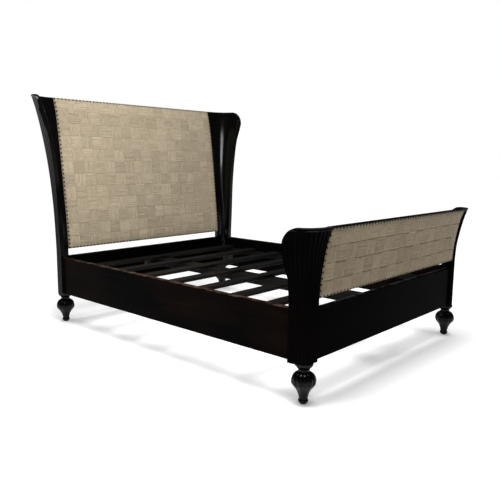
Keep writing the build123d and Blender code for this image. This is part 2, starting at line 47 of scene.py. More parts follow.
POST_BOTTOM, PANEL_BOTTOM = head_post[0].z, head_pad[0].z
HEAD_TOP, FOOT_TOP = head_post[1].z, foot_post[1].z
PANEL_GAP = 0.0006                                  # between a panel and its post
POST_START, PANEL_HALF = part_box("headboard_rail")[1].x, head_pad[1].x + PANEL_GAP
TIP, SHELL = head_post[0].y - MID, 0.030
FLUTES = 11
# height and distance from MID of the fabric faces
HEAD_FACE = [(.505, 1.038), (.700, 1.055), (.900, 1.077), (1.100, 1.098), (1.240, 1.116),
             (1.350, 1.131), (1.450, 1.149), (1.535, 1.172)]
FOOT_FACE = [(.505, 1.078), (.600, 1.085), (.680, 1.096), (.750, 1.110), (.810, 1.128), (.842, 1.141)]
# the posts' plan: half width, squareness, reach from MID; height comes first where it changes
BASE = (.834, 3.4, 1.078)
HEAD_SECT = [(.505, .834, 3.4, 1.078), (.700, .843, 2.7, 1.089), (.900, .850, 2.6, 1.111),
             (1.100, .867, 2.6, 1.132), (1.300, .898, 2.6, 1.158), (1.450, .929, 2.6, 1.183),
             (1.535, .951, 2.6, 1.206)]
FOOT_SECT = [(.505, .834, 3.4, 1.078), (.600, .843, 3.0, 1.085), (.700, .869, 2.8, 1.100),
             (.780, .886, 2.7, 1.119), (.842, .897, 2.6, 1.142)]


def hermite(points, z, col=1):
    """Smooth curve through listed values, and it takes arrays."""
    zs = np.array([p[0] for p in points])
    ys = np.array([p[col] for p in points])
    s = np.diff(ys) / np.diff(zs)
    m = np.concatenate([[s[0]], (s[1:] + s[:-1]) / 2, [s[-1]]])
    z = np.asarray(z, float)
    k = np.clip(np.searchsorted(zs, z, side="right") - 1, 0, len(zs) - 2)
    h = zs[k + 1] - zs[k]
    u = (z - zs[k]) / h
    return ((2*u**3 - 3*u**2 + 1) * ys[k] + (u**3 - 2*u**2 + u) * h * m[k]
            + (3*u**2 - 2*u**3) * ys[k + 1] + (u**3 - u**2) * h * m[k + 1])


def smooth(a, b, x):
    t = np.clip((np.asarray(x, float) - a) / (b - a), 0, 1)
    return t * t * (3 - 2 * t)


# ------------------------------------------------------------------ mesh helpers
def new_object(name, verts, faces, material, smooth_shade=True):
    me = bpy.data.meshes.new(name)
    me.from_pydata([tuple(v) for v in verts], [], faces)
    me.validate()
    me.update()
    if smooth_shade:
        me.polygons.foreach_set("use_smooth", [True] * len(me.polygons))
    me.materials.append(material)
    ob = bpy.data.objects.new(name, me)
    bpy.context.scene.collection.objects.link(ob)
    return ob


def grid_faces(nu, nv, wrap_u=False, flip=False):
    """Quads for an nu by nv grid, index = i * nv + j."""
    out = []
    for i in range(nu if wrap_u else nu - 1):
        i2 = (i + 1) % nu
        for j in range(nv - 1):
            q = (i*nv + j, i2*nv + j, i2*nv + j + 1, i*nv + j + 1)
            out.append(q[::-1] if flip else q)
    return out


def tidy_normals(ob, crease_angle=None):
    """Merge doubles and mark sharp edges where an angle is given, and turn all faces outward."""
    bm = bmesh.new()
    bm.from_mesh(ob.data)
    if crease_angle is not None:
        bmesh.ops.remove_doubles(bm, verts=bm.verts, dist=1e-5)
    bmesh.ops.recalc_face_normals(bm, faces=bm.faces)
    if crease_angle is not None:
        for e in bm.edges:
            if len(e.link_faces) == 2 and e.calc_face_angle(0) > crease_angle:
                e.smooth = False
    bm.to_mesh(ob.data)
    bm.free()


def finish_piece(ob, slot_name, *replaced):
    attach(ob, "root")
    if replaced:
        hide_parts(*replaced)


# ------------------------------------------------------------------ materials
class Nodes:
    """Short way to wire shader nodes."""
    def __init__(self, name):
        self.mat = bpy.data.materials.new(name)
        self.mat.use_nodes = True
        self.t = self.mat.node_tree
        self.t.nodes.clear()
        self.out = self.t.nodes.new("ShaderNodeOutputMaterial")
        self.bsdf = self.t.nodes.new("ShaderNodeBsdfPrincipled")
        self.t.links.new(self.bsdf.outputs[0], self.out.inputs[0])
        self.coord = self.t.nodes.new("ShaderNodeTexCoord")

    def set(self, **values):
        for k, v in values.items():
            self.bsdf.inputs[k.replace("_", " ")].default_value = v

    def link(self, a, b):
        self.t.links.new(a, b)

    def mapping(self, scale):
        n = self.t.nodes.new("ShaderNodeMapping")
        n.inputs["Scale"].default_value = scale
        self.link(self.coord.outputs["Object"], n.inputs["Vector"])
        return n.outputs[0]

    def noise(self, vec, scale=1.0, detail=4.0, rough=0.5, distortion=0.0):
        n = self.t.nodes.new("ShaderNodeTexNoise")
        n.inputs["Scale"].default_value = scale
        n.inputs["Detail"].default_value = detail
        n.inputs["Roughness"].default_value = rough
        n.inputs["Distortion"].default_value = distortion
        self.link(vec, n.inputs["Vector"])
        return n.outputs[0]

    def white(self, vec):
        n = self.t.nodes.new("ShaderNodeTexWhiteNoise")
        n.noise_dimensions = "3D"
        self.link(vec, n.inputs["Vector"])
        return n.outputs["Value"]

    def math(self, op, a, b=None, clamp=False):
        n = self.t.nodes.new("ShaderNodeMath")
        n.operation = op
        n.use_clamp = clamp
        for k, v in enumerate((a, b)):
            if v is None:
                continue
            if isinstance(v, (int, float)):
                n.inputs[k].default_value = v
            else:
                self.link(v, n.inputs[k])
        return n.outputs[0]

    def ramp(self, fac, stops):
        n = self.t.nodes.new("ShaderNodeValToRGB")
        e = n.color_ramp.elements
        while len(e) > 1:
            e.remove(e[-1])
        e[0].position, e[0].color = stops[0][0], (*stops[0][1], 1)
        for p, c in stops[1:]:
            x = e.new(p)
            x.color = (*c, 1)
        self.link(fac, n.inputs[0])
        return n.outputs[0]

    def mix(self, fac, a, b, mode="MIX"):
        n = self.t.nodes.new("ShaderNodeMix")
        n.data_type = "RGBA"
        n.blend_type = mode
        n.clamp_result = False
        if isinstance(fac, (int, float)):
            n.inputs["Factor"].default_value = fac
        else:
            self.link(fac, n.inputs["Factor"])
        for key, v in (("A", a), ("B", b)):
            s = [i for i in n.inputs if i.name == key and i.type == "RGBA"][0]
            if isinstance(v, tuple):
                s.default_value = (*v, 1)
            else:
                self.link(v, s)
        return [o for o in n.outputs if o.type == "RGBA"][0]

    def bump(self, height, strength, distance, normal=None):
        n = self.t.nodes.new("ShaderNodeBump")
        n.inputs["Strength"].default_value = strength
        n.inputs["Distance"].default_value = distance
        self.link(height, n.inputs["Height"])
        if normal is not None:
            self.link(normal, n.inputs["Normal"])
        return n.outputs[0]


EDGE_BAND = 0.004                                   # height over which an edge band fades out: rubbed wear, and painted highlight where the band is grey
CORDS = 5                                           # cords side by side in one woven strip


def ebonised(name, grain, rub_and_highlight_strength=0.5, specular=0.35, rough=(0.2, 0.34), brown=0.5, rub_and_highlight_edges=(),
             rub_and_highlight_colour=(0.050, 0.030, 0.020), tone=1.0):
    """Black lacquer over wood, lighter in bands at the given arris heights: rubbed wear, and painted highlight
    where the band is grey. grain is the object-space stretch of the figure, long across the grain.
    """
    m = Nodes(name)
    g = m.mapping(grain)
    figure = m.noise(g, 1.0, 8.0, 0.62, 0.25)
    fine = m.noise(m.mapping(tuple(v * 5 for v in grain)), 1.0, 3.0, 0.5)
    cloud = m.noise(m.mapping((1.9, 1.1, 2.6)), 1.0, 3.0, 0.5, 0.3)
    shades = ((0.30, (0.0009, 0.0008, 0.0008)), (0.55, (0.0018, 0.0016, 0.0015)),
              (0.80, (0.0036, 0.0028, 0.0025)))
    base = m.ramp(figure, [(at, tuple(v * tone for v in colour)) for at, colour in shades])
    patch = m.ramp(cloud, [(0.46, (0, 0, 0)), (0.80, (brown, brown, brown))])
    warm = m.mix(figure, (0.0060, 0.0028, 0.0020), (0.0140, 0.0066, 0.0042))
    base = m.mix(patch, base, warm)
    torn = m.ramp(m.noise(m.mapping((23, 23, 60)), 1.0, 4.0, 0.6),
                  [(0.40, (0, 0, 0)), (0.60, (1, 1, 1))])
    height = m.t.nodes.new("ShaderNodeSeparateXYZ")
    m.link(m.coord.outputs["Object"], height.inputs[0])
    for edge in rub_and_highlight_edges:                         # heights of lighter arris bands: rubbed wear, and painted highlight on lit edges
        away = m.math("ABSOLUTE", m.math("SUBTRACT", height.outputs["Z"], edge))
        close = m.math("SUBTRACT", 1.0, m.math("DIVIDE", away, EDGE_BAND), clamp=True)
        base = m.mix(m.math("MULTIPLY", m.math("MULTIPLY", close, torn), rub_and_highlight_strength), base, rub_and_highlight_colour)
    m.link(base, m.bsdf.inputs["Base Color"])
    r = m.t.nodes.new("ShaderNodeMapRange")
    r.inputs["From Min"].default_value, r.inputs["From Max"].default_value = 0.3, 0.75
    r.inputs["To Min"].default_value, r.inputs["To Max"].default_value = rough
    m.link(m.noise(m.mapping((9, 9, 7)), 1.0, 5.0, 0.6), r.inputs["Value"])
    m.link(r.outputs[0], m.bsdf.inputs["Roughness"])
    b = m.bump(figure, 0.10, 0.0006)
    m.link(m.bump(fine, 0.06, 0.0003, b), m.bsdf.inputs["Normal"])
    m.set(Specular_IOR_Level=specular)
    return m.mat


def stained_timber(name, grain):
    m = Nodes(name)
    g = m.mapping(grain)
    figure = m.noise(g, 1.0, 7.0, 0.6, 0.35)
    base = m.ramp(figure, [(0.32, (0.0026, 0.0023, 0.0021)), (0.5, (0.0050, 0.0044, 0.0040)),
                           (0.72, (0.0095, 0.0082, 0.0072))])
    m.link(base, m.bsdf.inputs["Base Color"])
    m.link(m.bump(figure, 0.25, 0.0008), m.bsdf.inputs["Normal"])
    m.set(Roughness=0.5, Specular_IOR_Level=0.06)
    return m.mat


def s_axis(m, axis):
    n = m.t.nodes.new("ShaderNodeSeparateXYZ")
    m.link(m.coord.outputs["Object"], n.inputs[0])
    return n.outputs[axis]


def woven(name, vertical, pitch, origin, shade):
    """Strip of slubby tan yarn. Fibres run along Z when vertical, along X when not."""
    m = Nodes(name)
    along, across = 26.0, 620.0
    fibre_scale = (across, across, along) if vertical else (along, across, across)
    fibre = m.noise(m.mapping(fibre_scale), 1.0, 3.0, 0.55, 0.15)
    wide_scale = (120.0, 120.0, 5.0) if vertical else (5.0, 120.0, 120.0)
    wide = m.noise(m.mapping(wide_scale), 1.0, 2.0, 0.5, 0.05)
    cross = m.noise(m.mapping((90, 90, 420) if vertical else (420, 90, 90)), 1.0, 2.0, 0.5)
    # one tone for each crossing
    s = m.t.nodes.new("ShaderNodeSeparateXYZ")
    m.link(m.coord.outputs["Object"], s.inputs[0])
    cx = m.math("FLOOR", m.math("DIVIDE", m.math("SUBTRACT", s.outputs["X"], origin[0]), pitch[0]))
    cz = m.math("FLOOR", m.math("DIVIDE", m.math("SUBTRACT", s.outputs["Z"], origin[1]), pitch[1]))
    c = m.t.nodes.new("ShaderNodeCombineXYZ")
    m.link(cx, c.inputs[0])
    m.link(cz, c.inputs[1])
    c.inputs[2].default_value = 3.0 if vertical else 11.0
    tone = m.white(c.outputs[0])
    strip = m.t.nodes.new("ShaderNodeCombineXYZ")
    m.link(cx if vertical else cz, strip.inputs[0])
    strip.inputs[1].default_value = 5.0 if vertical else 2.0
    band = m.white(strip.outputs[0])
    base = m.ramp(fibre, [(0.26, (0.215, 0.172, 0.112)), (0.46, (0.345, 0.285, 0.200)),
                          (0.62, (0.405, 0.340, 0.245)), (0.80, (0.470, 0.405, 0.305))])
    streak = m.ramp(wide, [(0.30, (0.80, 0.785, 0.755)), (0.50, (0.97, 0.965, 0.955)),
                           (0.70, (1.10, 1.11, 1.13))])
    base = m.mix(1.0, base, streak, "MULTIPLY")
    # cords side by side in each strip, with painted shade in the grooves between them and a faint painted
    # highlight on their tops
    across_axis = s_axis(m, "X" if vertical else "Z")
    first = origin[0] if vertical else origin[1]
    wide_strip = pitch[0] if vertical else pitch[1]
    turn = m.math("MULTIPLY", m.math("SUBTRACT", across_axis, first), CORDS * math.pi / wide_strip)
    cord_ = m.math("POWER", m.math("ABSOLUTE", m.math("SINE", turn)), 0.5)
    groove_shade = m.ramp(cord_, [(0.10, (0.87, 0.86, 0.84)), (0.62, (1.0, 1.0, 1.0)), (1.0, (1.03, 1.03, 1.035))])
    base = m.mix(1.0, base, groove_shade, "MULTIPLY")
    light = m.math("ADD", m.math("MULTIPLY", tone, 0.20), m.math("MULTIPLY", band, 0.07))
    light = m.math("ADD", light, 0.855)
    lift = m.t.nodes.new("ShaderNodeCombineColor")
    m.link(light, lift.inputs[0])
    m.link(light, lift.inputs[1])
    m.link(m.math("MULTIPLY", light, 0.985), lift.inputs[2])
    base = m.mix(1.0, base, lift.outputs[0], "MULTIPLY")
    # painted light and shade kept on the points: below 0.5 a painted shadow in folds and seams, above it a
    # painted highlight on raised edges
    painted_light_and_shade = m.t.nodes.new("ShaderNodeAttribute")
    painted_light_and_shade.attribute_name = "painted_light_and_shade"
    painted_fold_shading = m.ramp(painted_light_and_shade.outputs["Fac"], [(0.0, (0.30, 0.27, 0.235)), (0.25, (0.66, 0.635, 0.60)),
                                          (0.5, (1.0, 1.0, 1.0)), (1.0, (1.22, 1.22, 1.23))])
    base = m.mix(1.0, base, painted_fold_shading, "MULTIPLY")
    # painted shade: the footboard's cloth is a darker copy of the same cloth
    base = m.mix(1.0, base, shade, "MULTIPLY")
    m.link(base, m.bsdf.inputs["Base Color"])
    h = m.math("ADD", m.math("MULTIPLY", fibre, 0.75), m.math("MULTIPLY", cross, 0.25))
    round_ = m.bump(cord_, 0.5, 0.0016, m.bump(wide, 0.5, 0.0025))
    m.link(m.bump(h, 0.55, 0.0009, round_), m.bsdf.inputs["Normal"])
    m.set(Roughness=0.86, Specular_IOR_Level=0.22, Sheen_Weight=0.18, Sheen_Roughness=0.45)
    return m.mat


def simple(name, colour, rough, metal=0.0, spec=0.4, speck=30.0, vary=0.3, bump=0.0004):
    m = Nodes(name)
    n = m.noise(m.mapping((speck,) * 3), 1.0, 5.0, 0.6)
    lo, hi = tuple(v * (1 - vary) for v in colour), tuple(v * (1 + vary) for v in colour)
    m.link(m.ramp(n, [(0.3, lo), (0.7, hi)]), m.bsdf.inputs["Base Color"])
    r = m.t.nodes.new("ShaderNodeMapRange")
    r.inputs["To Min"].default_value, r.inputs["To Max"].default_value = rough - 0.08, rough + 0.08
    m.link(m.noise(m.mapping((speck * 2.5,) * 3), 1.0, 4.0, 0.5), r.inputs["Value"])
    m.link(r.outputs[0], m.bsdf.inputs["Roughness"])
    m.link(m.bump(n, 0.3, bump), m.bsdf.inputs["Normal"])
    m.set(Metallic=metal, Specular_IOR_Level=spec)
    return m.mat


rail_low, rail_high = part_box("side_rail_left")[0].z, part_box("side_rail_left")[1].z
# grey arris bands: painted highlight on lit edges as well as rubbed wear
GREY_RUB_AND_HIGHLIGHT = (0.034, 0.032, 0.031)
mat_post_head = ebonised("ebonised_head_post", (42, 42, 2.4), 0.6, 0.19, (0.13, 0.21), 0.30,
                         (HEAD_TOP,), GREY_RUB_AND_HIGHLIGHT)
# the foot posts take a darker, less glossy copy of the head posts' wood: painted shade
mat_post_foot = ebonised("ebonised_foot_post", (42, 42, 2.4), 0.9, 0.008, (0.14, 0.24), 0.20,
                         # the band 13.5 mm under the top is a row of painted highlights where the flutes end
                         (FOOT_TOP, FOOT_TOP - 0.0135), GREY_RUB_AND_HIGHLIGHT, 0.6)
mat_foot = ebonised("ebonised_foot", (38, 38, 5.0), 0.0, 0.13, (0.10, 0.16), 0.10, tone=0.5)
mat_rail_x = ebonised("ebonised_rail_across", (2.1, 36, 40), 0.9, 0.003, (0.24, 0.36), 0.10,
                      # the grey band on the rail's top arris is a painted highlight
                      (rail_low, rail_high), GREY_RUB_AND_HIGHLIGHT, 0.35)
mat_rail_y = ebonised("ebonised_rail_long", (40, 1.7, 34), 0.9, 0.006, (0.24, 0.36), 0.8,
                      (rail_low, rail_high))
mat_back = ebonised("ebonised_back", (2.2, 30, 30), 0.5, 0.045, (0.22, 0.34), 0.55,
                    (HEAD_TOP, PANEL_BOTTOM), GREY_RUB_AND_HIGHLIGHT, 1.3)
mat_base_x = stained_timber("base_timber_across", (2.2, 34, 40))
mat_base_y = stained_timber("base_timber_long", (40, 2.0, 36))
mat_base_z = stained_timber("base_timber_upright", (40, 38, 2.2))
mat_nail = simple("antique_nail", (0.012, 0.0085, 0.006), 0.36, 0.35, 0.35, 260.0, 0.5, 0.0002)
mat_steel = simple("black_steel", (0.018, 0.018, 0.018), 0.50, 0.0, 0.4, 140.0, 0.25)
mat_zinc = simple("zinc_screw", (0.15, 0.15, 0.155), 0.40, 1.0, 0.5, 180.0, 0.2)
mat_nylon = simple("nylon_glide", (0.020, 0.020, 0.020), 0.55, 0.0, 0.4, 120.0, 0.2)
mat_ply = simple("raw_ply", (0.42, 0.31, 0.20), 0.7, 0.0, 0.3, 60.0, 0.25)


# ------------------------------------------------------------------ corner posts
def quarter(x0, half, square, outer, t):
    """Points along a squared quarter oval; t runs from 0 at the panel to 1 at the tip."""
    a, b = half - x0, outer - TIP
    return np.stack([x0 + a * np.sin(t * np.pi / 2) ** (2 / square),
                     TIP + b * np.cos(t * np.pi / 2) ** (2 / square)], -1)


def even(points, count):
    """Resample a chain of points at even lengths."""
    d = np.concatenate([[0], np.cumsum(np.hypot(*np.diff(points, axis=0).T))])
    g = np.linspace(0, 1, count) * d[-1]
    return np.stack([np.interp(g, d, points[:, 0]), np.interp(g, d, points[:, 1])], -1)


FLUTE_COLUMNS = 12                                  # columns of points in one flute
FLUTE_DEPTH, FLUTE_SHARE = 0.0042, 0.86             # the rest of each lane is land
FLUTE_STOP, FLUTE_END, FLUTE_RAMP = 0.012, 0.010, 0.006    # below the rim, round end, run-out
RIM_EDGE = 0.0045                                   # softened arrises
NOSE = (0.12, 0.3, 0.5, 0.7, 0.88)                  # columns across the wall at the tip
CREASE_ANGLE = math.radians(38)


def post(name, sections, top, round_r, sx, sy, node, wood):
    """A fluted shell lofted level by level. sx is 1 on the right, and sy is 1 at the head."""
    n_out = FLUTES * FLUTE_COLUMNS + 1
    frac = np.linspace(0, 1, n_out)
    # levels, closer together near the top where the flutes end
    low = list(np.linspace(POST_BOTTOM, PANEL_BOTTOM, 14))
    high = (list(np.linspace(PANEL_BOTTOM, top - 0.075, 34 if top > 1 else 20))
            + list(np.linspace(top - 0.070, top, 30)))
    levels = [(z, True) for z in low] + [(z, False) for z in high]
    loops = []
    t = np.linspace(0, 1, 500)
    for z, is_base in levels:
        if is_base:
            (half, square, outer), x0 = BASE, POST_START
        else:
            half, square, outer = (float(hermite(sections, z, c)) for c in (1, 2, 3))
            x0 = PANEL_HALF
        o = even(quarter(x0, half, square, outer, t), n_out)
        i_ = even(quarter(x0, half - SHELL, square, outer - SHELL, t), n_out)
        # direction into the wall
        d = i_ - o
        d /= np.linalg.norm(d, axis=1)[:, None]
        loops.append((z, o, i_, d))
    # the free top edge, by column: level, rounded down to the tip
    y = loops[-1][1][:, 1]
    below = np.maximum(round_r**2 - (TIP + round_r - y)**2, 0)
    drop = np.where(y < TIP + round_r, round_r - np.sqrt(below), 0.0)
    z_rim = top - drop
    phase = (frac * FLUTES) % 1.0
    phase[-1] = 1.0
    lane = np.abs(phase - 0.5) * 2                  # 0 mid flute, 1 on the land
    across = np.clip(1 - (lane / FLUTE_SHARE) ** 2, 0, 1)
    verts = []
    for z, o, i_, d in loops:
        # heights squeeze under the rounded corner only in the last stretch
        zc = np.minimum(z - drop * smooth(top - 0.30, top, z), z_rim)
        # flutes stop short of the rim with a round end
        gap = z_rim - zc
        stop = np.clip((gap - FLUTE_STOP - FLUTE_END * (1 - np.sqrt(across))) / FLUTE_RAMP, 0, 1)
        depth = FLUTE_DEPTH * np.sqrt(across) * stop
        rim = np.clip(1 - gap / RIM_EDGE, 0, 1)
        inset = RIM_EDGE * (1 - np.sqrt(np.maximum(1 - rim**2, 0)))
        out = o + d * depth[:, None] + d * inset[:, None]
        inn = i_ - d * inset[:, None]
        e0, e1 = out[-1], inn[-1]
        nose = np.array([[*(e0 + (e1 - e0) * a), zc[-1]] for a in NOSE])
        verts.append(np.concatenate([np.concatenate([out, zc[:, None]], 1), nose,
                                     np.concatenate([inn, zc[:, None]], 1)[::-1]], 0))
    V = np.stack(verts, 1)                          # loop index, level, xyz
    V[..., 0] *= sx
    V[..., 1] = MID + sy * V[..., 1]
    n_loop, n_lev = V.shape[:2]
    flip = (sx * sy) < 0
    faces = grid_faces(n_loop, n_lev, wrap_u=True, flip=flip)
    # end faces: strips between the outer and inner chains, and one across the tip
    for lev, up in ((0, False), (n_lev - 1, True)):
        ends = [tuple(c * n_lev + lev for c in (k, k + 1, n_loop - 2 - k, n_loop - 1 - k))
                for k in range(n_out - 1)]
        ends.append(tuple((n_out - 1 + k) * n_lev + lev for k in range(len(NOSE) + 2)))
        faces += [q[::-1] for q in ends] if up != flip else ends
    ob = new_object(name, V.reshape(-1, 3), faces, wood)
    tidy_normals(ob, CREASE_ANGLE)
    finish_piece(ob, "ebonised_wood", node)


post("head_post_left_wood", HEAD_SECT, HEAD_TOP, 0.095, -1, 1, "headboard_post_left", mat_post_head)
post("head_post_right_wood", HEAD_SECT, HEAD_TOP, 0.095, 1, 1, "headboard_post_right", mat_post_head)
post("foot_post_left_wood", FOOT_SECT, FOOT_TOP, 0.085, -1, -1, "footboard_post_left", mat_post_foot)
post("foot_post_right_wood", FOOT_SECT, FOOT_TOP, 0.085, 1, -1, "footboard_post_right", mat_post_foot)

# ------------------------------------------------------------------ turned feet
FOOT_PROFILE = [(.003, .0168, 0), (.0045, .0190, 0), (.008, .0222, 0), (.011, .0238, 0), (.015, .0248, 0),
                (.019, .0244, 0), (.0225, .0230, 0), (.0245, .0219, 0), (.028, .0216, .0003),
                (.034, .0224, .0006),
                (.038, .0234, .0009), (.048, .0260, .0014), (.058, .0300, .0018), (.068, .0350, .0022),
                (.078, .0420, .0028), (.088, .0500, .0036), (.098, .0572, .0046), (.107, .0602, .0056),
                (.117, .0602, .0060), (.127, .0582, .0060), (.137, .0542, .0054), (.147, .0468, .0044),
                (.1525, .0400, .0034), (.157, .0330, .0022), (.160, .0298, .0012), (.163, .0286, .0006),
                (.167, .0283, .0004), (.171, .0292, .0008), (.176, .0330, .0016), (.182, .0384, .0024),
                (.188, .0430, .0028), (.194, .0456, .0028), (.1985, .0460, .0020), (.200, .0455, .0010)]


LOBES, LOBE_COLUMNS = 12, 14


def turned_foot(name, x, y, node):
    zs = np.unique(np.concatenate([np.linspace(.003, .200, 110), [p[0] for p in FOOT_PROFILE]]))
    r = hermite(FOOT_PROFILE, zs, 1)
    d = np.maximum(hermite(FOOT_PROFILE, zs, 2), 0) * (1 + 0.7 * smooth(.085, .105, zs))
    n = LOBES * LOBE_COLUMNS
    th = np.arange(n) / n * 2 * np.pi
    ph = (th / (2 * np.pi) * LOBES) % 1.0
    bulge = np.sqrt(np.maximum(1 - np.abs(2 * ph - 1) ** 2.2, 0))    # round bead between sharp valleys
    R = r[None, :] - d[None, :] * (1 - bulge[:, None])
    V = np.stack([x + R * np.cos(th)[:, None], y + R * np.sin(th)[:, None],
                  np.broadcast_to(zs, R.shape)], -1).reshape(-1, 3)
    faces = grid_faces(n, len(zs), wrap_u=True)
    faces.append(tuple(k * len(zs) for k in range(n))[::-1])
    faces.append(tuple(k * len(zs) + len(zs) - 1 for k in range(n)))
    ob = new_object(name, V, faces, mat_foot)
    finish_piece(ob, "ebonised_wood", node)


for node in ("foot_head_left", "foot_head_right", "foot_tail_left", "foot_tail_right"):
    lo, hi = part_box(node)
    turned_foot(node + "_wood", (lo.x + hi.x) / 2, (lo.y + hi.y) / 2, node)


# ------------------------------------------------------------------ upholstery
NAIL_INSET, NAIL_PITCH, NAIL_R, NAIL_RISE = 0.0066, 0.0285, 0.0066, 0.0029
CLOTH_STEP, HELD, HELD_BORDER = 0.0095, 0.0072, 0.0008     # grid, and how near a held point is
CLOTH_FRAMES, CLOTH_PRESSURE = 20, 1.2
PUFF, SETTLE = 0.0068, 0.0045                       # greatest rise kept, and how fast it is reached
PAD_THICK, ROLL = 0.013, 0.0065


def nail_spots(half, low, high):
    x1, z0, z1 = half - NAIL_INSET, low + NAIL_INSET, high - NAIL_INSET
    across, upward = round(2 * x1 / NAIL_PITCH), round((z1 - z0) / NAIL_PITCH)
    spots = [(-x1 + 2 * x1 * k / across, z) for z in (z0, z1) for k in range(across + 1)]
    return spots + [(x, z0 + (z1 - z0) * k / upward) for x in (-x1, x1) for k in range(1, upward)]


def face_frame(profile, sy, x, z):
    """Point and outward normal of a panel's fabric face. sy is 1 at the headboard and -1 at the footboard."""
    f = hermite(profile, z)
    e = 0.004
    zl, zh = np.maximum(z - e, profile[0][0]), np.minimum(z + e, profile[-1][0])
    slope = (hermite(profile, zh) - hermite(profile, zl)) / (zh - zl)
    p = np.stack([x, MID + sy * f, z], -1)
    n = np.stack([np.zeros_like(x), -np.ones_like(x), sy * slope], -1)
    return p, n / np.linalg.norm(n, axis=-1, keepdims=True)


def inflate(name, half, low, high, spots):
    """Cloth held down at its nails and filled from behind: returns its height over the panel on a grid."""
    nx, nz = int(round(2 * half / CLOTH_STEP)) + 1, int(round((high - low) / CLOTH_STEP)) + 1
    xs, zs = np.linspace(-half, half, nx), np.linspace(low, high, nz)
    X, Z = np.meshgrid(xs, zs, indexing="ij")
    e = np.minimum(half - np.abs(X), np.minimum(Z - low, high - Z))
    verts = np.stack([X, Z, np.zeros_like(X)], -1).reshape(-1, 3)
    ob = new_object(name, verts, grid_faces(nx, nz), mat_ply)
    near = np.full(X.shape, 9.0)
    for sx_, sz_ in spots:
        near = np.minimum(near, np.hypot(X - sx_, Z - sz_))
    held = (near < HELD) | (e < HELD_BORDER)
    group = ob.vertex_groups.new(name="held")
    group.add([int(k) for k in np.flatnonzero(held.reshape(-1))], 1.0, "REPLACE")
    mod = ob.modifiers.new("Cloth", "CLOTH")
    c = mod.settings
    c.quality = 6
    c.mass = 0.3
    c.tension_stiffness = c.compression_stiffness = 18
    c.shear_stiffness = 9
    c.bending_stiffness = 0.6
    c.vertex_group_mass = "held"
    c.shrink_min = -0.012
    c.use_pressure = True
    c.uniform_pressure_force = CLOTH_PRESSURE
    c.effector_weights.gravity = 0
    mod.collision_settings.use_collision = False
    scene = bpy.context.scene
    for f in range(1, CLOTH_FRAMES + 1):
        scene.frame_set(f)
    ev = ob.evaluated_get(bpy.context.evaluated_depsgraph_get())
    co = np.zeros(len(ob.data.vertices) * 3)
    ev.data.vertices.foreach_get("co", co)
    h = np.abs(co.reshape(nx, nz, 3)[:, :, 2])
    scene.frame_set(1)
    bpy.data.objects.remove(ob)
    print("cloth", name, "rise, median and most, mm", round(float(np.percentile(h, 50)) * 1000, 2),
          round(float(h.max()) * 1000, 2))
    # the free cloth rises far more than the pad does, so its height is held under PUFF
    return xs, zs, PUFF * (1 - np.exp(-h / SETTLE))


def bilinear(xs, zs, H, x, z):
    fx = np.clip((x - xs[0]) / (xs[1] - xs[0]), 0, len(xs) - 1.001)
    fz = np.clip((z - zs[0]) / (zs[1] - zs[0]), 0, len(zs) - 1.001)
    i, j = fx.astype(int), fz.astype(int)
    u, v = fx - i, fz - j
    return (H[i, j] * (1-u) * (1-v) + H[i+1, j] * u * (1-v)
            + H[i, j+1] * (1-u) * v + H[i+1, j+1] * u * v)


# where the lines run across one square of the weave, and in from the border
WITHIN = np.array([.005, .02, .04, .065, .095, .14, .21, .30, .40, .50, .60, .70, .79, .86, .905, .935, .96,
                   .98, .995])
RING = np.array([0, .0006, .0018, .0036, .006, .009, .012, .0155, .0195])


